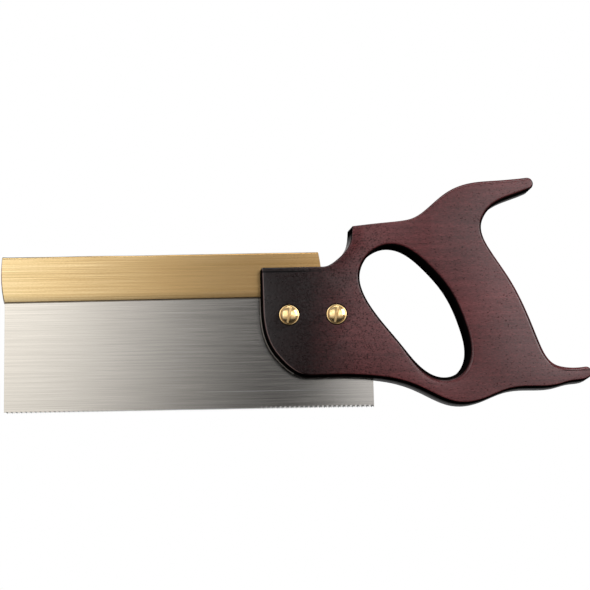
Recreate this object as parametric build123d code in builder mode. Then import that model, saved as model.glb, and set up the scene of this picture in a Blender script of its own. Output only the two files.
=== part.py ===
from build123d import *
import os

# Small back saw: a toothed steel plate, a folded brass back and a one-piece wooden handle,
# held together by two slotted saw screws and their nuts.
#
# Millimetres. X runs from the toe (-X) to the handle (+X), Z is up with the teeth at the bottom,
# and Y = 0 is the middle of the plate. The origin is the middle of the grip. The screws' slotted
# heads are on the -Y side, and the nuts are on the +Y side.

os.makedirs("parts", exist_ok=True)

# ---- plate --------------------------------------------------------------------------------
TOOTH_TIP_Z = -56.0
HEEL_X = -60.6
BLADE_LENGTH = 199.0
TOE_X = HEEL_X - BLADE_LENGTH
BLADE_THICK = 0.8
TOOTH_PITCH = 1.27
TOOTH_DEPTH = 0.8
TOOTH_RAKE_RUN = 0.12
TOE_SET_BACK = 2.2
PLATE_TOP_TOE_Z = 16.0
PLATE_TOP_HEEL_Z = 16.9
PLATE_TOP_END_X = -88.0
PLATE_HEEL_CUT_Z = -24.0

# ---- folded back --------------------------------------------------------------------------
BACK_THICK = 6.8
BACK_WALL = 3.0
BACK_TOE_X = -259.1
BACK_HEEL_X = -87.6
BACK_CORNER_SET_BACK = 1.2
BACK_TOE_TOP_SET_BACK = 0.6
BACK_END_BOW = 0.3
BACK_BOTTOM_TOE_Z = 3.3
BACK_BOTTOM_HEEL_Z = 4.2
BACK_TOP_TOE_Z = 27.6
BACK_TOP_HEEL_Z = 28.1
BACK_EDGE_RADIUS = 1.0

# ---- handle -------------------------------------------------------------------------------
HANDLE_THICK = 22.0
HANDLE_EDGE_RADIUS = 1.0
HOLE_EDGE_RADIUS = 2.0
CORNER_RADIUS = 0.8
KERF = 0.9
KERF_GAP = 0.3
MORTISE_GAP = 0.1
MORTISE_REAR_GAP = 1.2
KERF_FRONT_X = -125.0

# ---- saw screws and nuts ------------------------------------------------------------------
SCREW_Z = -6.7
SCREW_XS = (-106.2, -80.6)
HEAD_RADIUS = 5.5
HEAD_SEAT_DEPTH = 2.4
HEAD_RIM = 2.2
SCREW_DOME = 1.1
NUT_DOME = 0.25
COUNTERBORE_RADIUS = 5.85
SHANK_RADIUS = 2.4
SHANK_END_Y = 7.5
SHANK_TIP_BEVEL = 0.5
BORE_END_Y = 8.1
RIM_BEVEL = 0.6
THREAD_CLEARANCE = 0.05
SHANK_HOLE_RADIUS = 2.75
SLEEVE_RADIUS = 3.3
SLEEVE_HOLE_RADIUS = 3.65
SLEEVE_START_Y = 2.0
NECK_SIDE = 7.6
NECK_LENGTH = 2.0
NECK_GAP = 0.15
SLOT_WIDTH = 1.2
SLOT_DEPTH = 0.95
SLOT_LEAN_DEG = 14.5

# How far cutting shapes run on past the part that they cut
OVERCUT = 5.0

HALF = HANDLE_THICK / 2
SEAT_Y = HALF - HEAD_SEAT_DEPTH

# Side view, as (x, z) points, listed clockwise from the top of the cheek.
CHEEK_TOP_FRONT = (-120.4, 19.1)
CHEEK_TOP_REAR = (-87.0, 19.2)
NOTCH_TOP = (-70.8, 40.8)
CHEEK_SWEEP = [CHEEK_TOP_REAR, (-79.2, 23.1), (-72.4, 31.1), NOTCH_TOP]
TOP_EDGE = [
    NOTCH_TOP, (-55.1, 42.4), (-44.2, 43.4), (-38.3, 44.6), (-28.5, 51.0), (-17.8, 59.2),
    (-7.0, 63.2), (7.9, 64.6), (24.6, 65.85),
]
GRIP_BACK = [
    (25.9, 59.3), (15.3, 55.4), (6.1, 51.0), (1.6, 46.2), (-0.7, 39.9), (0.0, 34.8),
    (3.8, 27.0), (14.2, 10.6), (24.3, -11.2), (29.2, -24.2), (33.0, -31.8), (36.6, -35.3),
    (41.1, -36.9), (47.0, -37.5), (53.3, -37.2),
]
UNDERSIDE = [
    (54.7, -43.4), (46.2, -44.9), (37.5, -47.0), (28.5, -47.7), (19.3, -47.7), (10.9, -48.9),
    (-1.0, -53.4), (-10.2, -55.6), (-18.4, -55.1), (-28.8, -50.9), (-39.6, -45.6),
    (-50.6, -42.2), (-62.0, -40.5), (-78.0, -39.6), (-92.0, -39.8), (-98.9, -39.3),
    (-104.4, -36.9), (-109.8, -32.3), (-115.7, -24.8), (-118.6, -18.2), (-120.3, -9.0),
    (-120.6, 2.0),
]
NOTCH_DIRECTION = (0.1, 1.0)
LOWER_HORN_DIRECTION = (1.0, 0.1)
CHEEK_FRONT_DIRECTION = (0.006, 1.0)
HAND_HOLE = [
    (-67.4, 13.5), (-65.2, 21.0), (-60.6, 26.4), (-51.6, 30.1), (-44.8, 29.2), (-31.6, 19.7),
    (-19.4, 4.4), (-12.0, -13.4), (-9.8, -28.5), (-12.4, -35.7), (-18.6, -40.7), (-26.9, -40.8),
    (-34.0, -36.9), (-46.6, -22.7), (-61.2, -3.6), (-66.1, 6.0),
]

SIDE_VIEW = Plane.XZ

# ---- blade --------------------------------------------------------------------------------
tooth_count = int(BLADE_LENGTH / TOOTH_PITCH)
gullet_z = TOOTH_TIP_Z + TOOTH_DEPTH
tooth_line = []
for tooth in range(tooth_count):
    tip_x = HEEL_X - tooth * TOOTH_PITCH
    tooth_line.append((tip_x, TOOTH_TIP_Z))
    tooth_line.append((tip_x - TOOTH_PITCH + TOOTH_RAKE_RUN, gullet_z))
tooth_line.append((TOE_X, TOOTH_TIP_Z + TOOTH_DEPTH / 2))

blade_outline = tooth_line + [
    (TOE_X + TOE_SET_BACK, PLATE_TOP_TOE_Z),
    (PLATE_TOP_END_X, PLATE_TOP_HEEL_Z),
    (HEEL_X, PLATE_HEEL_CUT_Z),
]

with BuildPart() as blade:
    with BuildSketch(SIDE_VIEW):
        with BuildLine():
            Polyline(*blade_outline, close=True)
        make_face()
    extrude(amount=BLADE_THICK / 2, both=True)
    with Locations(*[Plane((x, 0, SCREW_Z), z_dir=(0, -1, 0)) for x in SCREW_XS]):
        Hole(SHANK_HOLE_RADIUS)

blade.part.label = "blade"
export_step(blade.part, "parts/blade.step")

# ---- back: a strip folded over the plate's upper edge ---------------------------------------
back_mid_toe_z = (BACK_BOTTOM_TOE_Z + BACK_TOP_TOE_Z) / 2
back_mid_heel_z = (BACK_BOTTOM_HEEL_Z + BACK_TOP_HEEL_Z) / 2

with BuildPart() as back:
    with BuildSketch(SIDE_VIEW):
        with BuildLine():
            bottom = Line(
                (BACK_TOE_X + BACK_CORNER_SET_BACK, BACK_BOTTOM_TOE_Z),
                (BACK_HEEL_X, BACK_BOTTOM_HEEL_Z),
            )
            heel = ThreePointArc(
                bottom @ 1,
                (BACK_HEEL_X + BACK_END_BOW, back_mid_heel_z),
                (BACK_HEEL_X - BACK_CORNER_SET_BACK, BACK_TOP_HEEL_Z),
            )
            top = Line(heel @ 1, (BACK_TOE_X + BACK_TOE_TOP_SET_BACK, BACK_TOP_TOE_Z))
            ThreePointArc(top @ 1, (BACK_TOE_X - BACK_END_BOW, back_mid_toe_z), bottom @ 0)
        make_face()
    extrude(amount=BACK_THICK / 2, both=True)
    top_face = back.faces().sort_by(Axis.Z)[-1]
    fillet(top_face.edges().filter_by(Axis.Y, reverse=True), BACK_EDGE_RADIUS)
    with BuildSketch(SIDE_VIEW):
        with BuildLine():
            Polyline(
                (BACK_TOE_X - OVERCUT, BACK_BOTTOM_TOE_Z - OVERCUT),
                (BACK_HEEL_X + OVERCUT, BACK_BOTTOM_HEEL_Z - OVERCUT),
                (BACK_HEEL_X + OVERCUT, BACK_TOP_HEEL_Z - BACK_WALL),
                (BACK_TOE_X - OVERCUT, BACK_TOP_TOE_Z - BACK_WALL),
                close=True,
            )
        make_face()
    extrude(amount=BLADE_THICK / 2, both=True, mode=Mode.SUBTRACT)

back.part.label = "back"
export_step(back.part, "parts/back.step")

# ---- handle ---------------------------------------------------------------------------------
back_slope = (BACK_BOTTOM_HEEL_Z - BACK_BOTTOM_TOE_Z) / (BACK_HEEL_X - BACK_TOE_X)
mortise_floor_rear_z = BACK_BOTTOM_HEEL_Z - MORTISE_GAP
mortise_floor_front_z = mortise_floor_rear_z - back_slope * (BACK_HEEL_X - KERF_FRONT_X)

near_screw_planes = [Plane((x, -HALF, SCREW_Z), z_dir=(0, -1, 0)) for x in SCREW_XS]
far_screw_planes = [Plane((x, HALF, SCREW_Z), z_dir=(0, 1, 0)) for x in SCREW_XS]
neck_planes = [Plane((x, SEAT_Y, SCREW_Z), x_dir=(1, 0, 0), z_dir=(0, -1, 0)) for x in SCREW_XS]

with BuildPart() as handle:
    with BuildSketch(SIDE_VIEW) as handle_side:
        with BuildLine():
            cheek_top = Line(CHEEK_TOP_FRONT, CHEEK_TOP_REAR)
            Spline(*CHEEK_SWEEP, tangents=[cheek_top % 1, NOTCH_DIRECTION])
            top_edge = Spline(*TOP_EDGE)
            upper_tip = TangentArc(top_edge @ 1, GRIP_BACK[0], tangent=top_edge % 1)
            grip_back = Spline(*GRIP_BACK, tangents=[upper_tip % 1, LOWER_HORN_DIRECTION])
            lower_tip = TangentArc(grip_back @ 1, UNDERSIDE[0], tangent=grip_back % 1)
            underside = Spline(*UNDERSIDE, tangents=[lower_tip % 1, CHEEK_FRONT_DIRECTION])
            Line(underside @ 1, CHEEK_TOP_FRONT)
        make_face()
        for corner in (CHEEK_TOP_FRONT, NOTCH_TOP):
            fillet(handle_side.vertices().sort_by_distance(corner)[0], CORNER_RADIUS)
    extrude(amount=HALF, both=True)
    side_faces = handle.faces().filter_by(Axis.Y)
    fillet(side_faces.edges(), HANDLE_EDGE_RADIUS)

    # hand hole
    with BuildSketch(SIDE_VIEW):
        with BuildLine():
            Spline(*HAND_HOLE, periodic=True)
        make_face()
    extrude(amount=HALF, both=True, mode=Mode.SUBTRACT)
    pierced_faces = handle.faces().filter_by(Axis.Y)
    fillet([face.inner_wires()[0].edges()[0] for face in pierced_faces], HOLE_EDGE_RADIUS)

    # saw kerf for the plate, open along the front and the underside of the cheek
    with BuildSketch(SIDE_VIEW):
        with BuildLine():
            Polyline(
                (KERF_FRONT_X, TOOTH_TIP_Z),
                (HEEL_X + KERF_GAP, TOOTH_TIP_Z),
                (HEEL_X + KERF_GAP, PLATE_HEEL_CUT_Z + KERF_GAP),
                (PLATE_TOP_END_X + KERF_GAP, PLATE_TOP_HEEL_Z),
                (KERF_FRONT_X, PLATE_TOP_HEEL_Z),
                close=True,
            )
        make_face()
    extrude(amount=KERF / 2, both=True, mode=Mode.SUBTRACT)

    # mortise for the back, open at the front and at the top
    with BuildSketch(SIDE_VIEW):
        with BuildLine():
            Polyline(
                (KERF_FRONT_X, mortise_floor_front_z),
                (BACK_HEEL_X + MORTISE_REAR_GAP, mortise_floor_rear_z),
                (BACK_HEEL_X + MORTISE_REAR_GAP, BACK_TOP_HEEL_Z),
                (KERF_FRONT_X, BACK_TOP_HEEL_Z),
                close=True,
            )
        make_face()
    extrude(amount=BACK_THICK / 2 + MORTISE_GAP, both=True, mode=Mode.SUBTRACT)

    # screw bores on the near side, nut bores with a square neck recess on the far side
    with Locations(*near_screw_planes):
        CounterBoreHole(SHANK_HOLE_RADIUS, COUNTERBORE_RADIUS, HEAD_SEAT_DEPTH, HALF)
    with Locations(*far_screw_planes):
        CounterBoreHole(SLEEVE_HOLE_RADIUS, COUNTERBORE_RADIUS, HEAD_SEAT_DEPTH, HALF)
    with BuildSketch(*neck_planes):
        Rectangle(NECK_SIDE + 2 * NECK_GAP, NECK_SIDE + 2 * NECK_GAP)
    extrude(amount=NECK_LENGTH + NECK_GAP, mode=Mode.SUBTRACT)

handle.part.label = "handle"
export_step(handle.part, "parts/handle.step")


# ---- saw screws -------------------------------------------------------------------------------
def screw_section(x):
    """The plane through a screw's axis in which its half profile is drawn, as (y, radius)."""
    return Plane((x, 0, SCREW_Z), x_dir=(0, 1, 0), z_dir=(1, 0, 0))


rim_y = SEAT_Y + HEAD_RIM

for name, x in zip(("front_screw", "rear_screw"), SCREW_XS):
    with BuildPart() as screw:
        with BuildSketch(screw_section(x)):
            with BuildLine():
                Polyline(
                    (-rim_y, HEAD_RADIUS - RIM_BEVEL),
                    (-rim_y + RIM_BEVEL, HEAD_RADIUS),
                    (-SEAT_Y, HEAD_RADIUS),
                    (-SEAT_Y, SHANK_RADIUS),
                    (SHANK_END_Y - SHANK_TIP_BEVEL, SHANK_RADIUS),
                    (SHANK_END_Y, SHANK_RADIUS - SHANK_TIP_BEVEL),
                    (SHANK_END_Y, 0),
                    (-rim_y - SCREW_DOME, 0),
                )
                TangentArc(
                    (-rim_y - SCREW_DOME, 0), (-rim_y, HEAD_RADIUS - RIM_BEVEL), tangent=(0, 1)
                )
            make_face()
        revolve(axis=Axis((x, 0, SCREW_Z), (0, 1, 0)))
        with BuildSketch(Plane((x, -rim_y - SCREW_DOME, SCREW_Z), x_dir=(1, 0, 0), z_dir=(0, -1, 0))):
            Rectangle(SLOT_WIDTH, 2 * HEAD_RADIUS, rotation=-SLOT_LEAN_DEG)
        extrude(amount=-SLOT_DEPTH, mode=Mode.SUBTRACT)
    screw.part.label = name
    export_step(screw.part, f"parts/{name}.step")

# ---- nuts: a domed head, a square neck and a threaded sleeve ------------------------------------
for name, x in zip(("front_nut", "rear_nut"), SCREW_XS):
    with BuildPart() as nut:
        with BuildSketch(screw_section(x)):
            with BuildLine():
                Polyline(
                    (rim_y + NUT_DOME, 0),
                    (BORE_END_Y, 0),
                    (BORE_END_Y, SHANK_RADIUS + THREAD_CLEARANCE),
                    (SLEEVE_START_Y, SHANK_RADIUS + THREAD_CLEARANCE),
                    (SLEEVE_START_Y, SLEEVE_RADIUS),
                    (SEAT_Y, SLEEVE_RADIUS),
                    (SEAT_Y, HEAD_RADIUS),
                    (rim_y - RIM_BEVEL, HEAD_RADIUS),
                    (rim_y, HEAD_RADIUS - RIM_BEVEL),
                )
                TangentArc((rim_y + NUT_DOME, 0), (rim_y, HEAD_RADIUS - RIM_BEVEL), tangent=(0, 1))
            make_face()
        revolve(axis=Axis((x, 0, SCREW_Z), (0, 1, 0)))
        with BuildSketch(Plane((x, SEAT_Y, SCREW_Z), x_dir=(1, 0, 0), z_dir=(0, -1, 0))):
            Rectangle(NECK_SIDE, NECK_SIDE)
            Circle((SHANK_RADIUS + SLEEVE_RADIUS) / 2, mode=Mode.SUBTRACT)
        extrude(amount=NECK_LENGTH)
    nut.part.label = name
    export_step(nut.part, f"parts/{name}.step")
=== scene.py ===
import math

import bmesh
import bpy
import numpy as np
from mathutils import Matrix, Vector
from mathutils.geometry import delaunay_2d_cdt


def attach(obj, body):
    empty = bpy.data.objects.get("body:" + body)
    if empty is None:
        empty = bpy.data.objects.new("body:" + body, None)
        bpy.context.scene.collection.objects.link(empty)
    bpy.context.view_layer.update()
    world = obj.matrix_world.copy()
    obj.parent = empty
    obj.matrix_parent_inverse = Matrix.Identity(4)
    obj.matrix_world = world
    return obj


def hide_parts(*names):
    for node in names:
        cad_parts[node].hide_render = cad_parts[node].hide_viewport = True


# Back saw. Metres, in the frame of the CAD model: X from the toe to the handle, Z up with the
# teeth at the bottom, Y = 0 in the middle of the plate and the slotted screw heads on -Y.

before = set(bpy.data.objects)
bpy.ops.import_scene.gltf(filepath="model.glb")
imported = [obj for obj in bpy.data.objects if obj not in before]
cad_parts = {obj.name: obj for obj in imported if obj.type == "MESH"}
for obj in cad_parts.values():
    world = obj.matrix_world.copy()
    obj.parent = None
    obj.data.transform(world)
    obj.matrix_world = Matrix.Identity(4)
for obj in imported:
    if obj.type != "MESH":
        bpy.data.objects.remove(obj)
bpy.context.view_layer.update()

MM = 0.001

# ---- dimensions in mm, as in the CAD model --------------------------------------------------------
# Side view, as (x, z) points, listed clockwise from the top of the cheek
CHEEK_TOP_FRONT = (-120.4, 19.1)
CHEEK_TOP_REAR = (-87.0, 19.2)
NOTCH_TOP = (-70.8, 40.8)
CHEEK_SWEEP = [CHEEK_TOP_REAR, (-79.2, 23.1), (-72.4, 31.1), NOTCH_TOP]
TOP_EDGE = [
    NOTCH_TOP, (-55.1, 42.4), (-44.2, 43.4), (-38.3, 44.6), (-28.5, 51.0), (-17.8, 59.2),
    (-7.0, 63.2), (7.9, 64.6), (24.6, 65.85),
]
GRIP_BACK = [
    (25.9, 59.3), (15.3, 55.4), (6.1, 51.0), (1.6, 46.2), (-0.7, 39.9), (0.0, 34.8),
    (3.8, 27.0), (14.2, 10.6), (24.3, -11.2), (29.2, -24.2), (33.0, -31.8), (36.6, -35.3),
    (41.1, -36.9), (47.0, -37.5), (53.3, -37.2),
]
UNDERSIDE = [
    (54.7, -43.4), (46.2, -44.9), (37.5, -47.0), (28.5, -47.7), (19.3, -47.7), (10.9, -48.9),
    (-1.0, -53.4), (-10.2, -55.6), (-18.4, -55.1), (-28.8, -50.9), (-39.6, -45.6),
    (-50.6, -42.2), (-62.0, -40.5), (-78.0, -39.6), (-92.0, -39.8), (-98.9, -39.3),
    (-104.4, -36.9), (-109.8, -32.3), (-115.7, -24.8), (-118.6, -18.2), (-120.3, -9.0),
    (-120.6, 2.0),
]
HAND_HOLE = [
    (-67.4, 13.5), (-65.2, 21.0), (-60.6, 26.4), (-51.6, 30.1), (-44.8, 29.2), (-31.6, 19.7),
    (-19.4, 4.4), (-12.0, -13.4), (-9.8, -28.5), (-12.4, -35.7), (-18.6, -40.7), (-26.9, -40.8),
    (-34.0, -36.9), (-46.6, -22.7), (-61.2, -3.6), (-66.1, 6.0),
]
NOTCH_DIRECTION = (0.1, 1)
LOWER_HORN_DIRECTION = (1, 0.1)
CHEEK_FRONT_DIRECTION = (0.006, 1)
CHEEK_TOP_DIRECTION = (1, 0.03)
HALF = 11.0

TOOTH_TIP_Z = -56.0
TOOTH_PITCH = 1.27
TOOTH_DEPTH = 0.8
TOOTH_RAKE_RUN = 0.12
TOE_X = -259.6
HEEL_X = -60.6
TOE_SET_BACK = 2.2
PLATE_TOP_TOE_Z = 16.0
PLATE_TOP_HEEL_Z = 16.9
PLATE_TOP_END_X = -88.0
PLATE_HEEL_CUT_Z = -24.0
BLADE_HALF = 0.4

BACK_HALF = 3.4
BACK_HEEL_X = -87.6
BACK_TOP_HEEL_Z = 28.1

SCREW_XS = (-106.2, -80.6)
SCREW_Z = -6.7
HEAD_RADIUS = 5.5
SEAT_Y = 8.6
RIM_Y = 10.8
RIM_BEVEL = 0.6
SCREW_DOME = 1.1
NUT_DOME = 0.25
SHANK_RADIUS = 2.4
SHANK_END_Y = 7.5
SHANK_TIP_BEVEL = 0.5
SHANK_HOLE_RADIUS = 2.75
SLEEVE_RADIUS = 3.3
SLEEVE_BORE_RADIUS = 2.45
SLEEVE_START_Y = 2.0
SLEEVE_BORE_END_Y = 8.1
SLEEVE_HOLE_RADIUS = 3.65
COUNTERBORE_RADIUS = 5.85
NECK_SIDE = 7.6
NECK_START_Y = 6.6
NECK_END_Y = 8.8
NECK_BORE_RADIUS = 2.9
NECK_GAP = 0.15
SLOT_WIDTH = 1.2
SLOT_LENGTH = 13.0
SLOT_FLOOR_Y = 10.95
SLOT_LEAN_DEG = 14.5

KERF_HALF = 0.45
KERF_GAP = 0.3
MORTISE_HALF = 3.5
MORTISE_REAR_X = -86.4
MORTISE_FLOOR_FRONT_Z = 3.904
MORTISE_FLOOR_REAR_Z = 4.1

# Where cutting shapes end, past the handle and the screw heads
CUT_FRONT_X = -125.0
CUT_BOTTOM_Z = -60.0
CUT_SIDE_Y = 12.0
CUT_HEAD_Y = 13.0
CUT_NECK_Y = 9.0

# Heads and nuts sit this far off the wood here, so that turning them doesn't rub
SEAT_GAP = 0.03


# ---- outlines ---------------------------------------------------------------------------------
def spline(points, start=None, end=None, closed=False, step=0.6):
    """Points along a smooth curve through the given ones, about step apart. start and end are
    its directions there."""
    pts = np.array(points, float)
    if closed:
        pts = np.vstack([pts, pts[:1]])
    chords = np.linalg.norm(np.diff(pts, axis=0), axis=1)
    t = np.concatenate([[0.0], np.cumsum(chords)])
    n = len(pts)
    matrix = np.zeros((n, n))
    right = np.zeros((n, 2))
    for i in range(1, n - 1):
        a, b = chords[i - 1], chords[i]
        matrix[i, i - 1], matrix[i, i], matrix[i, i + 1] = b, 2 * (a + b), a
        right[i] = 3 * (b * (pts[i] - pts[i - 1]) / a + a * (pts[i + 1] - pts[i]) / b)
    if closed:
        a, b = chords[-1], chords[0]
        matrix[0, n - 2], matrix[0, 0], matrix[0, 1] = b, 2 * (a + b), a
        right[0] = 3 * (b * (pts[0] - pts[n - 2]) / a + a * (pts[1] - pts[0]) / b)
        matrix[n - 1, n - 1], matrix[n - 1, 0] = 1, -1
    else:
        for row, near, direction, first in ((0, 1, start, True), (n - 1, n - 2, end, False)):
            chord = pts[1] - pts[0] if first else pts[-1] - pts[-2]
            length = chords[0] if first else chords[-1]
            if direction is None:
                matrix[row, row], matrix[row, near] = 2, 1
                right[row] = 3 * chord / length
            else:
                matrix[row, row] = 1
                right[row] = np.array(direction, float) / np.linalg.norm(direction)
    slope = np.linalg.solve(matrix, right)
    out = []
    for i in range(n - 1):
        count = max(2, int(round(chords[i] / step)))
        u = np.arange(count)[:, None] / count
        h = chords[i]
        out.append(
            (2 * u**3 - 3 * u**2 + 1) * pts[i] + (u**3 - 2 * u**2 + u) * h * slope[i]
            + (3 * u**2 - 2 * u**3) * pts[i + 1] + (u**3 - u**2) * h * slope[i + 1]
        )
    if not closed:
        out.append(pts[-1:])
    return np.vstack(out)


def end_direction(pts):
    last = pts[-1] - pts[-2]
    return last / np.linalg.norm(last)


def tangent_arc(a, b, direction, count=14):
    """An arc from a to b that leaves a along direction."""
    a, b = np.array(a, float), np.array(b, float)
    direction = np.array(direction, float) / np.linalg.norm(direction)
    normal = np.array([-direction[1], direction[0]])
    chord = b - a
    radius = chord.dot(chord) / (2 * chord.dot(normal))
    centre = a + normal * radius
    first = math.atan2(*(a - centre)[::-1])
    last = math.atan2(*(b - centre)[::-1])
    if radius > 0 and last < first:
        last += 2 * math.pi
    if radius < 0 and last > first:
        last -= 2 * math.pi
    angles = np.linspace(first, last, count)
    return centre + abs(radius) * np.stack([np.cos(angles), np.sin(angles)], 1)


def corner_arc(before, corner, after, radius, count=7):
    """Points that round the corner between two edges."""
    before, corner, after = (np.array(p, float) for p in (before, corner, after))
    u = (before - corner) / np.linalg.norm(before - corner)
    v = (after - corner) / np.linalg.norm(after - corner)
    half = math.acos(np.clip(u.dot(v), -1, 1)) / 2
    reach = radius / math.tan(half)
    return tangent_arc(corner + u * reach, corner + v * reach, -u, count)


def smooth_ring(values, rounds):
    """Averages each value of a closed ring with its neighbours, a number of times."""
    for _ in range(rounds):
        values = (np.roll(values, 1) + 2 * values + np.roll(values, -1)) / 4
    return values


def resample(pts, step):
    """Points at even spacing round a closed outline."""
    loop = np.vstack([pts, pts[:1]])
    lengths = np.concatenate([[0.0], np.cumsum(np.linalg.norm(np.diff(loop, axis=0), axis=1))])
    count = int(round(lengths[-1] / step))
    at = np.arange(count) * lengths[-1] / count
    return np.stack([np.interp(at, lengths, loop[:, k]) for k in range(loop.shape[1])], 1)


# ---- mesh building --------------------------------------------------------------------------------
# Edges that bend less than this are shaded smooth
SMOOTH_DEG = 35


def ring_normals(pts):
    """Outward normals of an anticlockwise closed outline."""
    d = np.roll(pts, -1, axis=0) - np.roll(pts, 1, axis=0)
    d /= np.linalg.norm(d, axis=1)[:, None]
    return np.stack([d[:, 1], -d[:, 0]], 1)


def area(pts):
    """Area of an outline, positive if it runs anticlockwise."""
    x, z = pts[:, 0], pts[:, 1]
    return 0.5 * float(np.sum(x * np.roll(z, -1) - np.roll(x, -1) * z))


def cap(bm, loops):
    """Fills the flat area inside the first ring of vertices and outside the others."""
    verts = [v for ring in loops for v in ring]
    flat = [Vector((v.co.x, v.co.z)) for v in verts]
    edges, start = [], 0
    for ring in loops:
        count = len(ring)
        edges += [(start + i, start + (i + 1) % count) for i in range(count)]
        start += count
    result = delaunay_2d_cdt(flat, edges, [], 1, 1e-9)
    coords, faces, origins = result[0], result[2], result[3]
    if len(coords) != len(verts):
        raise RuntimeError("an outline crosses itself")
    back_to = [found[0] for found in origins]
    centres = [np.mean([coords[k] for k in f], axis=0) for f in faces]
    for f, centre in zip(faces, centres):
        if any(inside(centre, [(v.co.x, v.co.z) for v in ring]) for ring in loops[1:]):
            continue
        bm.faces.new([verts[back_to[k]] for k in f])


def inside(point, polygon):
    """Whether a point is inside a polygon, by counting the edges to its right."""
    x, z = point
    poly = np.array(polygon)
    nxt = np.roll(poly, -1, axis=0)
    crosses = (poly[:, 1] > z) != (nxt[:, 1] > z)
    dz = np.where(nxt[:, 1] == poly[:, 1], 1.0, nxt[:, 1] - poly[:, 1])
    at = poly[:, 0] + (z - poly[:, 1]) * (nxt[:, 0] - poly[:, 0]) / dz
    return bool(np.sum(crosses & (x < at)) % 2)


def bridge(bm, a, b):
    """Joins two rings of vertices with a band of four-sided faces."""
    count = len(a)
    for i in range(count):
        bm.faces.new((a[i], a[(i + 1) % count], b[(i + 1) % count], b[i]))


def board(name, loops, half, arcs=7):
    """A flat board, its outline and holes in the XZ plane in mm, with edges rounded over by the
    radius in each point's third column. The first loop is the outline."""
    bm = bmesh.new()
    near_caps, far_caps = [], []
    for number, loop in enumerate(loops):
        pts = np.array(loop, float)
        if (area(pts) > 0) != (number == 0):
            pts = pts[::-1]
        radius = pts[:, 2:3]
        normal = ring_normals(pts[:, :2])
        rings = []
        steps = [k * math.pi / 2 / arcs for k in range(arcs + 1)] if radius.max() > 0 else [0.0]
        for side in (-1, 1):
            for angle in steps if side == 1 else steps[::-1]:
                at = pts[:, :2] - normal * radius * (1 - math.cos(angle))
                y = side * (half - radius[:, 0] * (1 - math.sin(angle)))
                rings.append([
                    bm.verts.new((p[0] * MM, float(h) * MM, p[1] * MM)) for p, h in zip(at, y)
                ])
        for a, b in zip(rings, rings[1:]):
            bridge(bm, a, b)
        near_caps.append(rings[0])
        far_caps.append(rings[-1])
    cap(bm, near_caps)
    cap(bm, far_caps)
    return finish_mesh(bm, name)


def finish_mesh(bm, name, smooth_deg=SMOOTH_DEG):
    bmesh.ops.recalc_face_normals(bm, faces=bm.faces)
    mesh = bpy.data.meshes.new(name)
    bm.to_mesh(mesh)
    bm.free()
    obj = bpy.data.objects.new(name, mesh)
    bpy.context.scene.collection.objects.link(obj)
    shade(obj, smooth_deg)
    return obj


def shade(obj, smooth_deg):
    mesh = obj.data
    for polygon in mesh.polygons:
        polygon.use_smooth = True
    mesh.set_sharp_from_angle(angle=math.radians(smooth_deg))


def lathe(name, profile, x, z, segments=96):
    """Turns a profile of (y, radius) points in mm, with both ends on the axis, round the axis
    along Y at (x, z)."""
    bm = bmesh.new()
    rings = []
    for y, radius in profile:
        if radius < 1e-6:
            rings.append([bm.verts.new((x * MM, y * MM, z * MM))])
            continue
        rings.append([
            bm.verts.new((
                (x + radius * math.cos(2 * math.pi * k / segments)) * MM,
                y * MM,
                (z + radius * math.sin(2 * math.pi * k / segments)) * MM,
            ))
            for k in range(segments)
        ])
    for a, b in zip(rings, rings[1:]):
        if len(a) == 1 or len(b) == 1:
            point, ring = (a[0], b) if len(a) == 1 else (b[0], a)
            for k in range(segments):
                bm.faces.new((point, ring[k], ring[(k + 1) % segments]))
        else:
            bridge(bm, a, b)
    return finish_mesh(bm, name, smooth_deg=30)


def block(name, corners, y0, y1):
    """A straight-sided cutter from an XZ outline in mm."""
    bm = bmesh.new()
    rings = [
        [bm.verts.new((px * MM, y * MM, pz * MM)) for px, pz in corners] for y in (y0, y1)
    ]
    bridge(bm, rings[0], rings[1])
    bm.faces.new(rings[0])
    bm.faces.new(rings[1][::-1])
    return finish_mesh(bm, name)


def turned_square(x, z, width, height, lean_deg=0.0):
    """Corners of a rectangle centred on (x, z), its top leaning towards +X."""
    c, s = math.cos(math.radians(lean_deg)), math.sin(math.radians(lean_deg))
    corners = []
    for u, v in ((-0.5, -0.5), (0.5, -0.5), (0.5, 0.5), (-0.5, 0.5)):
        a, b = u * width, v * height
        corners.append((x + a * c + b * s, z - a * s + b * c))
    return corners


def cut(obj, tool, operation="DIFFERENCE"):
    """Applies a boolean of tool to obj, and removes tool."""
    modifier = obj.modifiers.new("cut", "BOOLEAN")
    modifier.operation = operation
    modifier.solver = "EXACT"
    modifier.object = tool
    bpy.context.view_layer.update()
    depsgraph = bpy.context.evaluated_depsgraph_get()
    result = bpy.data.meshes.new_from_object(obj.evaluated_get(depsgraph))
    old = obj.data
    obj.modifiers.clear()
    obj.data = result
    bpy.data.meshes.remove(old)
    obj.data.name = obj.name
    bpy.data.objects.remove(tool)
    shade(obj, SMOOTH_DEG)


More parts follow.
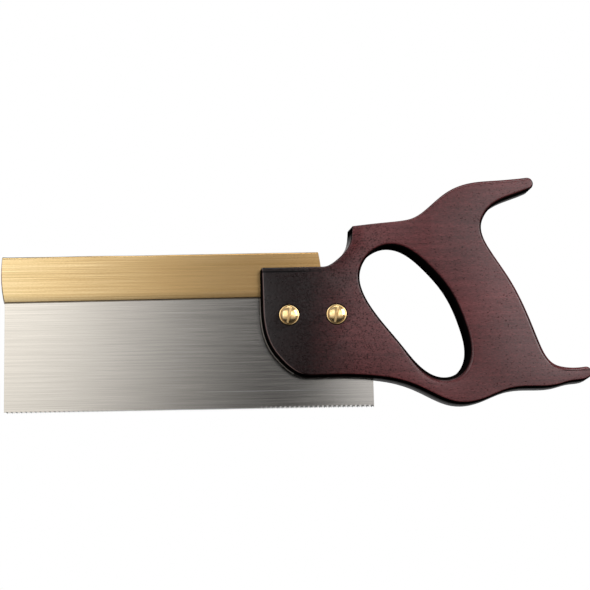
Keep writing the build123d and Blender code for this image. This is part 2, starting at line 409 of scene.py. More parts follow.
# ---- node materials -------------------------------------------------------------------------------
class Graph:
    """A short way of writing node trees."""

    def __init__(self, tree):
        self.tree = tree
        tree.nodes.clear()

    def add(self, kind, inputs=None, **settings):
        node = self.tree.nodes.new(kind)
        for key, value in settings.items():
            setattr(node, key, value)
        for key, value in (inputs or {}).items():
            self.put(node.inputs[key], value)
        return node

    def put(self, socket, value):
        if isinstance(value, bpy.types.NodeSocket):
            self.tree.links.new(value, socket)
        elif isinstance(value, bpy.types.Node):
            self.tree.links.new(value.outputs[0], socket)
        else:
            socket.default_value = value

    def math(self, operation, a, b=0.0, c=0.0):
        node = self.add("ShaderNodeMath", operation=operation)
        for socket, value in zip(node.inputs, (a, b, c)):
            self.put(socket, value)
        return node.outputs[0]

    def both(self, a, b):
        return self.math("MULTIPLY", a, b)

    def either(self, a, b):
        return self.math("MAXIMUM", a, b)

    def below(self, value, limit):
        return self.math("LESS_THAN", value, limit)

    def above(self, value, limit):
        return self.math("GREATER_THAN", value, limit)

    def near(self, value, at, within):
        return self.math("COMPARE", value, at, within)

    def blend(self, *parts):
        """Sum of (value, share) pairs."""
        total = self.math("MULTIPLY", *parts[0])
        for value, share in parts[1:]:
            total = self.math("ADD", total, self.math("MULTIPLY", value, share))
        return total

    def noise(self, scale, detail, rough):
        """Noise with a number of cells per metre along each axis."""
        coordinates = self.add("ShaderNodeTexCoord").outputs["Object"]
        placed = self.add("ShaderNodeMapping", {"Vector": coordinates, "Scale": scale})
        node = self.add("ShaderNodeTexNoise", {
            "Vector": placed, "Scale": 1.0, "Detail": detail, "Roughness": rough,
        })
        return node.outputs["Fac"]

    def ramp(self, value, stops):
        """Colours, or greys given as one number, at positions from 0 to 1."""
        node = self.add("ShaderNodeValToRGB", {"Fac": value})
        elements = node.color_ramp.elements
        while len(elements) < len(stops):
            elements.new(0.5)
        for element, (position, shade_of) in zip(elements, stops):
            element.position = position
            colour = shade_of if isinstance(shade_of, tuple) else (shade_of,) * 3
            element.color = (*colour, 1.0)
        return node.outputs["Color"]

    def remap(self, value, low, high, to_low=0.0, to_high=1.0):
        node = self.add("ShaderNodeMapRange", {
            "Value": value, "From Min": low, "From Max": high, "To Min": to_low, "To Max": to_high,
        })
        return node.outputs[0]

    def mix(self, factor, a, b, blend="MIX"):
        node = self.add("ShaderNodeMix", data_type="RGBA", blend_type=blend)
        for key, value in ((0, factor), (6, a), (7, b)):
            if isinstance(value, tuple) and len(value) == 3:
                value = (*value, 1.0)
            self.put(node.inputs[key], value)
        return node.outputs[2]

    def bump(self, height, distance, strength, normal=None):
        node = self.add("ShaderNodeBump", {
            "Height": height, "Distance": distance, "Strength": strength,
        })
        if normal is not None:
            self.put(node.inputs["Normal"], normal)
        return node.outputs[0]

    def split(self, vector):
        return self.add("ShaderNodeSeparateXYZ", {"Vector": vector}).outputs

    def xyz(self):
        return self.split(self.add("ShaderNodeTexCoord").outputs["Object"])


def material(name):
    made = bpy.data.materials.new(name)
    made.use_nodes = True
    return made, Graph(made.node_tree)


def output(graph, **inputs):
    """Ends a material in a Principled shader, its input names written with underscores."""
    named = {key.replace("_", " "): value for key, value in inputs.items()}
    shader = graph.add("ShaderNodeBsdfPrincipled", named)
    graph.add("ShaderNodeOutputMaterial", {"Surface": shader.outputs[0]})


# Places on the handle where its finish, its painted shade and its painted highlights change, in
# metres
HOLE_LEFT_X = -0.0685
HOLE_RIGHT_X = -0.006
HOLE_TOP_Z = 0.032
HOLE_BOTTOM_Z = -0.0462
UNDERSIDE_Z = -0.036
CHEEK_FRONT_X = -0.098
KERF_EDGE_X = -0.100
QUIRK_Z = 0.0167
HORN_LINE_Z = -0.0392

# Painted shade on the walls that face down or sideways
WALL_SHADE_BLACK = (0.0045, 0.0035, 0.0035)
# Painted sheen on the far side of the down-facing walls
SHEEN_GREY = (0.19, 0.155, 0.15)
# Painted reflection line on the cheek's front wall beside the kerf
REFLECTION_WHITE = (0.90, 0.84, 0.78)
# Colour of the pores, also used for the painted shadow line on the lower horn
PORE_AND_SHADOW_DARK = (0.010, 0.003, 0.003)
SPECK_DARK = (0.008, 0.003, 0.003)
# Painted shadow line just below the cheek's top edge
QUIRK_SHADOW_DARK = (0.001, 0.001, 0.001)
# Painted highlight on the cheek's rounded front edge
GLINT = (0.22, 0.14, 0.13)


def wood_regions(g, x, y, z, facing):
    """Masks for the broad faces with the upward edges lit like them, the other edges getting painted
    shade, and for the painted sheen on the far side of the down-facing walls. The hand hole's walls
    are in neither."""
    flat = g.remap(g.math("ABSOLUTE", facing[1]), 0.80, 0.975)
    right_of_hole = g.above(x, HOLE_RIGHT_X)
    below_or_right = g.either(g.below(z, HOLE_BOTTOM_Z), right_of_hole)
    above_or_left = g.either(g.above(z, HOLE_TOP_Z), g.below(x, HOLE_LEFT_X))
    lit = g.both(g.remap(facing[2], 0.10, 0.45), g.either(below_or_right, above_or_left))
    face = g.either(flat, lit)
    # Painted sheen: down-facing walls outside the hand hole turn grey towards the far side
    sheen_and_wear = g.both(g.remap(y, -0.004, 0.0105), g.below(facing[2], -0.1))
    sheen_and_wear = g.both(sheen_and_wear, g.either(g.below(z, UNDERSIDE_Z), right_of_hole))
    return face, sheen_and_wear


def stained_wood(g, x, grain, fine, cloud, pores):
    """Red-brown wood, its stain almost black at the front of the cheek."""
    tone = g.blend((grain, 0.25), (fine, 0.5), (cloud, 0.25))
    colour = g.ramp(tone, [
        (0.40, (0.064, 0.0115, 0.0125)),
        (0.52, (0.130, 0.0270, 0.0295)),
        (0.64, (0.215, 0.0500, 0.0530)),
    ])
    colour = g.mix(g.both(pores, 0.7), colour, PORE_AND_SHADOW_DARK)
    spread = g.math("ADD", x, g.both(g.math("SUBTRACT", cloud, 0.5), 0.02))
    stain = g.ramp(g.remap(spread, -0.12, 0.06), [
        (0.0, 0.06), (0.12, 0.10), (0.20, 0.40), (0.28, 0.85), (0.40, 1.0), (0.55, 0.92),
        (1.0, 0.92),
    ])
    return g.mix(1.0, colour, stain, "MULTIPLY")


def wall_colour(g, x, y, facing, sheen_and_wear):
    """Walls painted near black as shade, with a painted grey sheen towards their far side and a
    painted near-white reflection line beside the kerf.
    """
    wall = g.mix(sheen_and_wear, WALL_SHADE_BLACK, SHEEN_GREY)
    # Painted reflection: a near-white line on the cheek's front wall, beside the kerf
    kerf_side = g.both(g.remap(y, -0.0026, -0.0016), g.below(y, 0.0))
    reflection_line = g.both(kerf_side, g.below(facing[0], -0.5))
    reflection_line = g.both(reflection_line, g.below(x, KERF_EDGE_X))
    return g.mix(reflection_line, wall, REFLECTION_WHITE)


def front_edge_glint(g, x, facing):
    """Mask for the painted highlight along the rounded front edge of the cheek."""
    glint = g.near(g.math("ABSOLUTE", facing[1]), 0.90, 0.08)
    glint = g.both(glint, g.below(facing[0], -0.15))
    return g.both(glint, g.below(x, CHEEK_FRONT_X))


def wood_material():
    """Dark red-brown stain under satin lacquer, the stain darker at the front of the cheek. The
    edges that face down or sideways are painted near black as shade, with painted highlight and
    shadow lines."""
    made, g = material("handle_wood")
    x, y, z = g.xyz()
    facing = g.split(g.add("ShaderNodeNewGeometry").outputs["Normal"])
    face, sheen_and_wear = wood_regions(g, x, y, z, facing)
    grain = g.noise((30, 260, 500), 4.0, 0.6)
    fine = g.noise((420, 900, 2400), 3.0, 0.7)
    cloud = g.noise((14, 30, 30), 3.0, 0.5)
    pores = g.remap(g.noise((850, 1500, 1600), 1.0, 0.5), 0.66, 0.71)
    colour = stained_wood(g, x, grain, fine, cloud, pores)

    orange_peel = g.noise((1150, 1150, 1150), 2.0, 0.6)
    around_screws = g.ramp(g.remap(x, -0.12, -0.03), [
        (0.0, 0.0), (0.15, 0.2), (0.30, 1.0), (0.62, 1.0), (0.85, 0.25), (1.0, 0.0),
    ])
    specks = g.both(g.remap(orange_peel, 0.54, 0.66), around_screws)
    colour = g.mix(g.both(specks, 0.75), colour, SPECK_DARK)
    # Painted shadow line between the lower horn's top facet and the face
    horn_shadow_line = g.both(g.near(z, HORN_LINE_Z, 0.00028), g.remap(x, 0.038, 0.043))
    colour = g.mix(g.both(horn_shadow_line, 0.8), colour, PORE_AND_SHADOW_DARK)
    # Edges outside the face mask take painted shade, a painted sheen and a painted reflection line
    # instead of the wood colour
    colour = g.mix(face, wall_colour(g, x, y, facing, sheen_and_wear), colour)
    # Painted highlight along the cheek's rounded front edge
    colour = g.mix(g.both(front_edge_glint(g, x, facing), 0.7), colour, GLINT)
    # Painted shadow line just below the cheek's top edge
    quirk_shadow = g.both(g.near(z, QUIRK_Z, 0.0004), g.remap(x, -0.084, -0.100))
    colour = g.mix(g.both(quirk_shadow, 0.9), colour, QUIRK_SHADOW_DARK)

    marks = g.either(g.either(quirk_shadow, horn_shadow_line), g.either(specks, pores))
    unmarked = g.math("SUBTRACT", 1.0, g.both(marks, 0.75))
    lacquer = g.noise((800, 800, 800), 2.0, 0.5)
    near_screws = g.remap(x, -0.050, -0.085)
    peel = g.both(lacquer, g.math("ADD", 0.25, near_screws))
    under = g.bump(pores, -0.00002, 0.6, g.bump(fine, 0.00002, 0.5))
    top = g.bump(peel, 0.00005, 0.6, g.bump(fine, 0.00001, 0.5))
    output(
        g, Base_Color=colour, Roughness=g.remap(grain, 0.3, 0.7, 0.46, 0.36), Normal=under,
        Specular_IOR_Level=g.both(face, 0.05),
        Coat_Weight=g.both(unmarked, g.either(g.both(face, 0.8), g.both(sheen_and_wear, 0.6))),
        Coat_Roughness=g.remap(lacquer, 0.3, 0.7, 0.14, 0.24),
        Coat_IOR=g.remap(x, -0.010, 0.030, 1.5, 1.64), Coat_Normal=top,
    )
    return made


# The bright line that rubbing has left along the plate, and a height just above the teeth, in
# metres
RUBBED_Z = -0.0463
TEETH_TOP_Z = -0.0548


def steel_material():
    """Ground steel with long fine lines, a rubbed line, a painted glint on every other tooth and
    painted shade on the teeth between.
    """
    made, g = material("saw_steel")
    x, _, z = g.xyz()
    long_lines = g.noise((5, 40, 2600), 2.0, 0.6)
    lines = g.noise((28, 300, 5200), 3.0, 0.65)
    cloud = g.noise((12, 12, 30), 2.0, 0.5)
    colour = g.ramp(g.blend((long_lines, 0.5), (lines, 0.5)), [
        (0.34, (0.44, 0.425, 0.40)),
        (0.50, (0.56, 0.54, 0.51)),
        (0.66, (0.68, 0.655, 0.62)),
    ])
    colour = g.mix(g.remap(cloud, 0.4, 0.7, 0.0, 0.25), colour, (0.50, 0.475, 0.44))
    warm = g.ramp(g.remap(x, -0.26, -0.12), [
        (0.0, (0.955, 0.925, 0.87)), (0.6, (0.985, 0.965, 0.935)), (1.0, (1.0, 0.99, 0.985)),
    ])
    colour = g.mix(1.0, colour, warm, "MULTIPLY")
    rubbed_part = g.ramp(g.remap(x, -0.16, -0.07), [
        (0.0, 0.0), (0.3, 0.45), (0.65, 0.4), (1.0, 0.0),
    ])
    rubbed = g.both(g.near(z, RUBBED_Z, 0.0003), rubbed_part)
    colour = g.mix(rubbed, colour, (0.95, 0.95, 0.95))
    # Painted glint on every other tooth, and painted shade on the teeth between them
    teeth = g.both(g.below(z, TEETH_TOP_Z), g.remap(x, -0.13, -0.11))
    wave = g.math("SINE", g.both(x, math.pi / (TOOTH_PITCH * MM)))
    tooth_glint = g.both(teeth, g.above(wave, 0.3))
    shaded = g.both(teeth, g.below(wave, -0.1))
    colour = g.mix(tooth_glint, colour, (0.95, 0.93, 0.90))
    colour = g.mix(g.both(shaded, 0.75), colour, (0.08, 0.08, 0.08))
    output(
        g, Base_Color=colour, Metallic=g.math("SUBTRACT", 1.0, g.both(tooth_glint, 0.7)),
        Roughness=g.remap(lines, 0.3, 0.7, 0.10, 0.17),
        Normal=g.bump(lines, 0.000003, 0.6, g.bump(long_lines, 0.000004, 0.5)),
    )
    return made


def brass_material():
    """Brushed brass, more tarnished towards the handle."""
    made, g = material("back_brass")
    lines = g.noise((30, 300, 4200), 3.0, 0.65)
    long_lines = g.noise((6, 40, 1500), 2.0, 0.55)
    specks = g.noise((900, 900, 2600), 2.0, 0.6)
    cloud = g.noise((16, 12, 40), 3.0, 0.5)
    tone = g.blend((long_lines, 0.4), (lines, 0.4), (specks, 0.2))
    colour = g.ramp(tone, [
        (0.36, (0.46, 0.330, 0.147)),
        (0.50, (0.62, 0.465, 0.240)),
        (0.64, (0.76, 0.610, 0.355)),
    ])
    colour = g.mix(g.remap(cloud, 0.42, 0.7, 0.0, 0.3), colour, (0.60, 0.42, 0.19))
    tarnish = g.ramp(g.remap(g.xyz()[0], -0.26, -0.09), [
        (0.0, (1.0, 1.0, 1.0)), (0.5, (1.0, 0.90, 0.80)), (1.0, (1.0, 0.82, 0.66)),
    ])
    colour = g.mix(1.0, colour, tarnish, "MULTIPLY")
    output(
        g, Base_Color=colour, Metallic=1.0, Roughness=g.remap(tone, 0.3, 0.7, 0.26, 0.18),
        Normal=g.bump(specks, 0.00001, 0.4, g.bump(lines, 0.000006, 0.6)),
    )
    return made


def screw_material():
    """Turned brass, duller on the floor of the slot."""
    made, g = material("screw_brass")
    turned = g.noise((2500, 2500, 2500), 2.0, 0.5)
    sheen_and_wear = g.noise((700, 700, 700), 3.0, 0.6)
    colour = g.ramp(sheen_and_wear, [
        (0.35, (0.68, 0.44, 0.18)),
        (0.55, (0.84, 0.60, 0.30)),
        (0.75, (0.90, 0.72, 0.42)),
    ])
    slot_floor = g.near(g.xyz()[1], -SLOT_FLOOR_Y * MM, 0.00002)
    rough = g.math("ADD", g.remap(sheen_and_wear, 0.3, 0.7, 0.20, 0.12), g.both(slot_floor, 0.3))
    output(
        g, Base_Color=colour, Metallic=1.0, Roughness=rough, Normal=g.bump(turned, 0.000004, 0.5),
    )
    return made


WOOD = wood_material()
STEEL = steel_material()
BRASS = brass_material()
SCREW = screw_material()


def dress(obj, made, slot, body, *nodes):
    """Gives a piece its material, parents it to its body's empty, and hides the CAD nodes that it
    stands for.
    """
    obj.data.materials.clear()
    obj.data.materials.append(made)
    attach(obj, body)
    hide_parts(*nodes)


# ---- handle ---------------------------------------------------------------------------------------
OUTLINE_STEP = 0.45


def with_radius(pts, first, last):
    """Adds a third column, the radius that the edge is rounded over by."""
    radii = np.linspace(first, last, len(pts))[:, None]
    return np.hstack([pts, radii])


def handle_outline():
    """The handle's outline as (x, z, radius), with small radii at the sharp corners."""
    sweep = spline(CHEEK_SWEEP, start=CHEEK_TOP_DIRECTION, end=NOTCH_DIRECTION)
    top_edge = spline(TOP_EDGE)
    upper_tip = tangent_arc(TOP_EDGE[-1], GRIP_BACK[0], end_direction(top_edge))
    grip_back = spline(GRIP_BACK, start=end_direction(upper_tip), end=LOWER_HORN_DIRECTION)
    lower_tip = tangent_arc(GRIP_BACK[-1], UNDERSIDE[0], end_direction(grip_back))
    underside = spline(
        UNDERSIDE, start=end_direction(lower_tip), end=CHEEK_FRONT_DIRECTION,
    )
    top_front = corner_arc(UNDERSIDE[-1], CHEEK_TOP_FRONT, CHEEK_TOP_REAR, 0.8)
    notch = corner_arc(sweep[-2], NOTCH_TOP, top_edge[1], 0.55)
    parts = [
        with_radius(top_front, 1.0, 0.9),
        with_radius(sweep[:-1], 1.2, 0.6),
        with_radius(notch, 0.5, 0.5),
        with_radius(top_edge[2:-1], 0.8, 2.2),
        with_radius(upper_tip, 1.1, 1.1),
        with_radius(grip_back[1:-1], 1.8, 2.6),
        with_radius(lower_tip, 1.0, 1.0),
        with_radius(underside[1:], 0.8, 1.5),
    ]
    loop = resample(np.vstack(parts), OUTLINE_STEP)
    loop[:, 2] = smooth_ring(loop[:, 2], 60)
    for corner in (CHEEK_TOP_FRONT, NOTCH_TOP):
        near = np.linalg.norm(loop[:, :2] - corner, axis=1)
        loop[:, 2] = np.minimum(loop[:, 2], 0.5 + 0.2 * near)
    return loop


def hole_radius(x, z):
    """How far the hand hole's edge is rounded over, in mm: widest at the bottom."""
    low = np.clip((-26.0 - z) / 12.0, 0, 1)
    right = np.clip((x + 30.0) / 16.0, 0, 1)
    top = np.clip((z - 20.0) / 8.0, 0, 1)
    return 2.2 + 2.1 * low + 0.8 * right * (1 - low) - 0.5 * top


def build_handle():
    hole = resample(spline(HAND_HOLE, closed=True), OUTLINE_STEP)
    radii = smooth_ring(hole_radius(hole[:, 0], hole[:, 1]), 40)
    hole = np.hstack([hole, radii[:, None]])
    handle = board("saw_handle", [handle_outline(), hole], HALF)
    cut(handle, block("kerf_cut", [
        (CUT_FRONT_X, CUT_BOTTOM_Z),
        (HEEL_X + KERF_GAP, CUT_BOTTOM_Z),
        (HEEL_X + KERF_GAP, PLATE_HEEL_CUT_Z + KERF_GAP),
        (PLATE_TOP_END_X + KERF_GAP, PLATE_TOP_HEEL_Z),
        (CUT_FRONT_X, PLATE_TOP_HEEL_Z),
    ], -KERF_HALF, KERF_HALF))
    cut(handle, block("mortise_cut", [
        (CUT_FRONT_X, MORTISE_FLOOR_FRONT_Z),
        (MORTISE_REAR_X, MORTISE_FLOOR_REAR_Z),
        (MORTISE_REAR_X, BACK_TOP_HEEL_Z),
        (CUT_FRONT_X, BACK_TOP_HEEL_Z),
    ], -MORTISE_HALF, MORTISE_HALF))
    seat = SEAT_Y - SEAT_GAP
    neck_side = NECK_SIDE + 2 * NECK_GAP
    for x in SCREW_XS:
        cut(handle, lathe("bore_cut", [
            (-CUT_SIDE_Y, 0), (-CUT_SIDE_Y, COUNTERBORE_RADIUS), (-seat, COUNTERBORE_RADIUS),
            (-seat, SHANK_HOLE_RADIUS), (0, SHANK_HOLE_RADIUS), (0, SLEEVE_HOLE_RADIUS),
            (seat, SLEEVE_HOLE_RADIUS), (seat, COUNTERBORE_RADIUS),
            (CUT_SIDE_Y, COUNTERBORE_RADIUS), (CUT_SIDE_Y, 0),
        ], x, SCREW_Z))
        neck = turned_square(x, SCREW_Z, neck_side, neck_side)
        cut(handle, block("neck_cut", neck, NECK_START_Y - NECK_GAP, CUT_NECK_Y))
    dress(handle, WOOD, "handle_wood", "saw", "handle")


# ---- blade ----------------------------------------------------------------------------------------
TOOTH_SET = 0.2
# Height of the strip of facets above the gullets
STRIP_ABOVE = 0.25


def circle(x, z, radius, count=48):
    angles = np.arange(count) * 2 * math.pi / count
    return np.stack([x + radius * np.cos(angles), z + radius * np.sin(angles), 0 * angles], 1)


def join_strip(blade, strip, seam_z):
    """Welds the strip of teeth to the plate along the height seam_z, and drops the faces between
    them."""
    bm = bmesh.new()
    bm.from_mesh(blade.data)
    bm.from_mesh(strip.data)
    bpy.data.objects.remove(strip)
    seam = [f for f in bm.faces if all(abs(v.co.z / MM - seam_z) < 1e-3 for v in f.verts)]
    bmesh.ops.delete(bm, geom=seam, context="FACES_ONLY")
    bmesh.ops.remove_doubles(bm, verts=bm.verts, dist=1e-7)
    return bm


def build_blade():
    """The plate, with each tooth's tip set alternately to the left and right. The teeth are their
    own strip of facets, so that the plate above them stays flat."""
    gullet_z = TOOTH_TIP_Z + TOOTH_DEPTH
    root_z = gullet_z + STRIP_ABOVE
    count = int((HEEL_X - TOE_X) / TOOTH_PITCH)
    teeth, root, sides = [], [], {}
    for tooth in range(count):
        tip_x = HEEL_X - tooth * TOOTH_PITCH
        sides[round(tip_x, 3)] = 1 if tooth % 2 else -1
        teeth.append((tip_x, TOOTH_TIP_Z, 0))
        teeth.append((tip_x - TOOTH_PITCH + TOOTH_RAKE_RUN, gullet_z, 0))
        root.append((tip_x, root_z, 0))
    teeth.append((TOE_X, TOOTH_TIP_Z + TOOTH_DEPTH / 2, 0))
    root.append((TOE_X + 0.03, root_z, 0))
    plate = root + [
        (TOE_X + TOE_SET_BACK, PLATE_TOP_TOE_Z, 0), (PLATE_TOP_END_X, PLATE_TOP_HEEL_Z, 0),
        (HEEL_X, PLATE_HEEL_CUT_Z, 0),
    ]
    holes = [circle(x, SCREW_Z, SHANK_HOLE_RADIUS) for x in SCREW_XS]
    strip = board("teeth_strip", [teeth + root[::-1]], BLADE_HALF)
    blade = board("saw_blade", [plate] + holes, BLADE_HALF)
    bm = join_strip(blade, strip, root_z)
    for vertex in bm.verts:
        if abs(vertex.co.z / MM - TOOTH_TIP_Z) < 0.01:
            vertex.co.y += sides.get(round(vertex.co.x / MM, 3), 0) * TOOTH_SET * MM
    bmesh.ops.recalc_face_normals(bm, faces=bm.faces)
    bm.to_mesh(blade.data)
    bm.free()
    for polygon in blade.data.polygons:
        polygon.use_smooth = False
    dress(blade, STEEL, "saw_steel", "saw", "blade")


# ---- back -----------------------------------------------------------------------------------------
# Heights at the toe, and how much they rise to the heel
BACK_BOTTOM_TOE_Z = 3.3
BACK_BOTTOM_RISE = 0.9
BACK_TOP_TOE_Z = 27.55
BACK_TOP_RISE = 0.45
SLIT_TOP_TOE_Z = 24.8
SLIT_TOP_RISE = 0.3

BACK_SLIT_HALF = 0.42
BACK_FOOT_RADIUS = 0.25
BACK_TOE_CORNER_X = -257.9
BACK_TOE_BOW = 1.05
BACK_TOE_TOP_LEAN = 0.6
BACK_HEEL_BOW = 0.9
BACK_HEEL_TOP_LEAN = 1.2


def back_section(t):
    """The fold's section at t of the way from toe to heel, as (y, z) points, and the heights of
    its bottom and top. The top is a little wavy, and stands up and is rounder at the toe."""
    bottom = BACK_BOTTOM_TOE_Z + BACK_BOTTOM_RISE * t
    wave = 0.12 * math.sin(9.0 * t) + 0.07 * math.sin(23.0 * t + 1.0)
    toe_lift = 0.28 * math.exp(-t / 0.02)
    top = BACK_TOP_TOE_Z + BACK_TOP_RISE * t + toe_lift + wave * (1 - t)
    radius = 0.95 + 0.75 * math.exp(-t / 0.12)
    foot = BACK_FOOT_RADIUS
    section = [(-BACK_SLIT_HALF, bottom), (-BACK_HALF + foot, bottom)]
    section += [
        (-BACK_HALF + foot - foot * math.sin(a), bottom + foot - foot * math.cos(a))
        for a in (math.pi / 6, math.pi / 3)
    ]
    section.append((-BACK_HALF, bottom + foot))
    section += [(-BACK_HALF, bottom + (top - radius - bottom) * k / 6) for k in range(1, 6)]
    for k in range(9):
        a = math.pi / 2 * k / 8
        y = -BACK_HALF + radius - radius * math.cos(a)
        section.append((y, top - radius + radius * math.sin(a)))
    section += [(-y, z) for y, z in section[::-1]]
    slit_top = SLIT_TOP_TOE_Z + SLIT_TOP_RISE * t
    section += [(BACK_SLIT_HALF, slit_top), (-BACK_SLIT_HALF, slit_top)]
    return section, bottom, top


def build_back():
    """The folded strip: a section that changes a little along its length, closed over the plate.
    Its ends bow out and their tops lean in."""
    # Sections are closest together at the toe, where the shape changes most
    stations = np.concatenate([
        np.linspace(0, 0.06, 14), np.linspace(0.08, 0.97, 60), np.linspace(0.98, 1.0, 5),
    ])
    bm = bmesh.new()
    rings = []
    for t in stations:
        section, bottom, top = back_section(t)
        ring = []
        for y, z in section:
            h = (z - bottom) / (top - bottom)
            toe = BACK_TOE_CORNER_X - 4 * BACK_TOE_BOW * h * (1 - h) - BACK_TOE_TOP_LEAN * h
            heel = BACK_HEEL_X + 4 * BACK_HEEL_BOW * h * (1 - h) - BACK_HEEL_TOP_LEAN * h
            ring.append(bm.verts.new(((toe + (heel - toe) * t) * MM, y * MM, z * MM)))
        rings.append(ring)
    for a, b in zip(rings, rings[1:]):
        bridge(bm, a, b)
    bm.faces.new(rings[0])
    bm.faces.new(rings[-1][::-1])
    back = finish_mesh(bm, "saw_back")
    dress(back, BRASS, "back_brass", "saw", "back")


# ---- screws and nuts ------------------------------------------------------------------------------
SCREW_RIM_WIDTH = 0.9


def dome(rim_y, rise, radius, count=16):
    """Half profile of a domed face from its middle to its rim, as (y, radius)."""
    sphere = (radius**2 + rise**2) / (2 * rise)
    out = []
    for k in range(count + 1):
        r = radius * k / count
        out.append((rim_y + rise - (sphere - math.sqrt(sphere**2 - r**2)), r))
    return out


def build_screw(name, node, x):
    """A slotted screw. A fine groove parts its domed face from its rim."""
    inner = HEAD_RADIUS - SCREW_RIM_WIDTH
    face = [(-y, r) for y, r in dome(RIM_Y, SCREW_DOME, inner)]
    profile = face + [
        (-RIM_Y + 0.14, inner + 0.05), (-RIM_Y, inner + 0.18), (-RIM_Y, inner + 0.55),
        (-RIM_Y + 0.1, inner + 0.75), (-RIM_Y + 0.5, HEAD_RADIUS),
        (-SEAT_Y, HEAD_RADIUS), (-SEAT_Y, SHANK_RADIUS),
        (SHANK_END_Y - SHANK_TIP_BEVEL, SHANK_RADIUS),
        (SHANK_END_Y, SHANK_RADIUS - SHANK_TIP_BEVEL), (SHANK_END_Y, 0),
    ]
    screw = lathe(name, profile, x, SCREW_Z)
    slot = turned_square(x, SCREW_Z, SLOT_WIDTH, SLOT_LENGTH, SLOT_LEAN_DEG)
    cut(screw, block("slot_cut", slot, -CUT_HEAD_Y, -SLOT_FLOOR_Y))
    dress(screw, SCREW, "screw_brass", node, node)


def build_nut(name, node, x):
    """A nut with a slightly domed face, a square neck and a sleeve that takes the screw."""
    inner = HEAD_RADIUS - RIM_BEVEL
    profile = dome(RIM_Y, NUT_DOME, inner) + [
        (RIM_Y - 0.25, inner + 0.4), (RIM_Y - RIM_BEVEL, HEAD_RADIUS), (SEAT_Y, HEAD_RADIUS),
        (SEAT_Y, SLEEVE_RADIUS), (SLEEVE_START_Y, SLEEVE_RADIUS),
        (SLEEVE_START_Y, SLEEVE_BORE_RADIUS), (SLEEVE_BORE_END_Y, SLEEVE_BORE_RADIUS),
        (SLEEVE_BORE_END_Y, 0),
    ]
    nut = lathe(name, profile, x, SCREW_Z)
    square = turned_square(x, SCREW_Z, NECK_SIDE, NECK_SIDE)
    neck = block("neck_join", square, NECK_START_Y, NECK_END_Y)
    cut(neck, lathe("neck_bore", [
        (5.0, 0), (5.0, NECK_BORE_RADIUS), (8.7, NECK_BORE_RADIUS), (8.7, 0),
    ], x, SCREW_Z))
    cut(nut, neck, "UNION")
    dress(nut, SCREW, "screw_brass", node, node)


build_handle()
build_blade()
build_back()
for end, screw_x in zip(("front", "rear"), SCREW_XS):
    build_screw(f"{end}_saw_screw", f"{end}_screw", screw_x)
    build_nut(f"{end}_saw_nut", f"{end}_nut", screw_x)

NODE_MATERIALS = {"handle": WOOD, "blade": STEEL, "back": BRASS}
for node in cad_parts.values():
    node.data.materials.clear()
    node.data.materials.append(NODE_MATERIALS.get(node.name, SCREW))


# ---- camera ---------------------------------------------------------------------------------------
def aim_camera(azimuth, elevation, roll, distance, target, lens):
    """A camera that looks at target from a distance. The angles are in degrees, azimuth from -Y."""
    a, e, r = (math.radians(v) for v in (azimuth, elevation, roll))
    back_way = Vector((math.sin(a) * math.cos(e), -math.cos(a) * math.cos(e), math.sin(e)))
    right = Vector((math.cos(a), math.sin(a), 0))
    up = right.cross(-back_way)
    right, up = (
        right * math.cos(r) - up * math.sin(r),
        right * math.sin(r) + up * math.cos(r),
    )
    data = bpy.data.cameras.new("camera")
    data.lens = lens
    data.sensor_width = 36.0
    data.clip_start = 0.1
    data.clip_end = 50.0
    camera = bpy.data.objects.new("camera", data)
    bpy.context.scene.collection.objects.link(camera)
    place = Vector(target) + back_way * distance
    for row in range(3):
        for column, axis in enumerate((right, up, back_way)):
            camera.matrix_world[row][column] = axis[row]
        camera.matrix_world[row][3] = place[row]
    bpy.context.scene.camera = camera


aim_camera(
    azimuth=-6.3, elevation=-6.8, roll=1.68, distance=3.0, target=(-0.10156, 0, 0.00529),
    lens=340.35,
)


# ---- stage and light ------------------------------------------------------------------------------
def panel(name, corners, made):
    """A flat sheet for the scene around the saw, not attached to any of its bodies."""
    bm = bmesh.new()
    bm.faces.new([bm.verts.new(c) for c in corners])
    obj = finish_mesh(bm, name)
    obj.data.materials.append(made)
    return obj


def floor_material():
    made, g = material("floor_white")
    grit = g.noise((40, 40, 40), 3.0, 0.5)
    output(g, Base_Color=g.ramp(grit, [(0.3, 0.78), (0.7, 0.82)]), Roughness=0.8,
           Normal=g.bump(grit, 0.0005, 0.2))
    return made


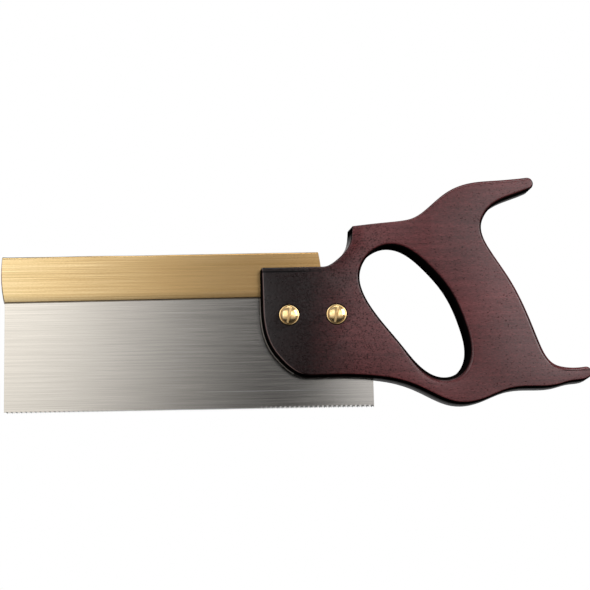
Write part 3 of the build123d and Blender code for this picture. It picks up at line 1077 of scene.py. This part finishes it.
def card_material():
    """A soft light sheet, dark in its middle, that the saw's flat sides mirror."""
    made, g = material("card_light")
    x, _, z = g.xyz()
    glow = g.ramp(g.remap(x, -0.30, 0.30), [
        (0.0, 1.0), (0.132, 1.0), (0.198, 0.84), (0.265, 0.54), (0.332, 0.28), (0.398, 0.10),
        (0.443, 0.02), (0.478, 0.02), (0.505, 0.20), (0.530, 0.68), (0.583, 0.66), (0.643, 0.62),
        (0.70, 0.90), (0.74, 1.0), (1.0, 1.0),
    ])
    height = g.remap(z, -0.15, 0.12, 0.25, 1.0)
    lamp = g.add("ShaderNodeEmission", {"Color": glow, "Strength": g.both(height, 2.0)})
    g.add("ShaderNodeOutputMaterial", {"Surface": lamp.outputs[0]})
    return made


FLOOR_Z = -0.6
CARD_Y = -0.7

floor = panel("floor", [
    (-4, -6, FLOOR_Z), (4, -6, FLOOR_Z), (4, 4, FLOOR_Z), (-4, 4, FLOOR_Z),
], floor_material())
card = panel("card", [
    (-0.6, CARD_Y, -0.25), (0.6, CARD_Y, -0.25), (0.6, CARD_Y, 0.45), (-0.6, CARD_Y, 0.45),
], card_material())
card.visible_camera = False
card.visible_shadow = False
floor.visible_glossy = False
floor.visible_diffuse = False


def soft_light(name, place, towards, width, height, power):
    data = bpy.data.lights.new(name, "AREA")
    data.shape = "RECTANGLE"
    data.size = width
    data.size_y = height
    data.energy = power
    lamp = bpy.data.objects.new(name, data)
    bpy.context.scene.collection.objects.link(lamp)
    lamp.location = place
    way = Vector(towards) - Vector(place)
    lamp.rotation_euler = way.to_track_quat("-Z", "Y").to_euler()
    lamp.visible_camera = False


soft_light(
    "light_top", (-0.2, -0.5, 1.2), towards=(-0.1, 0, 0), width=1.2, height=0.5, power=6,
)
soft_light(
    "light_right", (0.9, -0.8, 0.4), towards=(-0.05, 0, 0), width=0.4, height=0.7, power=5,
)

# A white background behind the saw, and a dim one for what its surfaces mirror
world = bpy.data.worlds.new("world")
bpy.context.scene.world = world
world.use_nodes = True
sky = Graph(world.node_tree)
is_camera = sky.add("ShaderNodeLightPath").outputs["Is Camera Ray"]
direction = sky.split(sky.add("ShaderNodeTexCoord").outputs["Generated"])
front = sky.remap(direction[1], 0.1, -0.9)
behind = sky.remap(direction[1], 0.2, 0.9, 0.0, 0.45)
height_glow = sky.remap(direction[2], -0.4, 0.6, 0.05, 0.5)
dim = sky.math("ADD", behind, sky.both(front, height_glow))
backdrop = sky.add("ShaderNodeBackground", {
    "Color": (1, 1, 1, 1), "Strength": sky.either(is_camera, dim),
})
sky.add("ShaderNodeOutputWorld", {"Surface": backdrop.outputs[0]})

view = bpy.context.scene.view_settings
view.view_transform = "Standard"
view.look = "None"
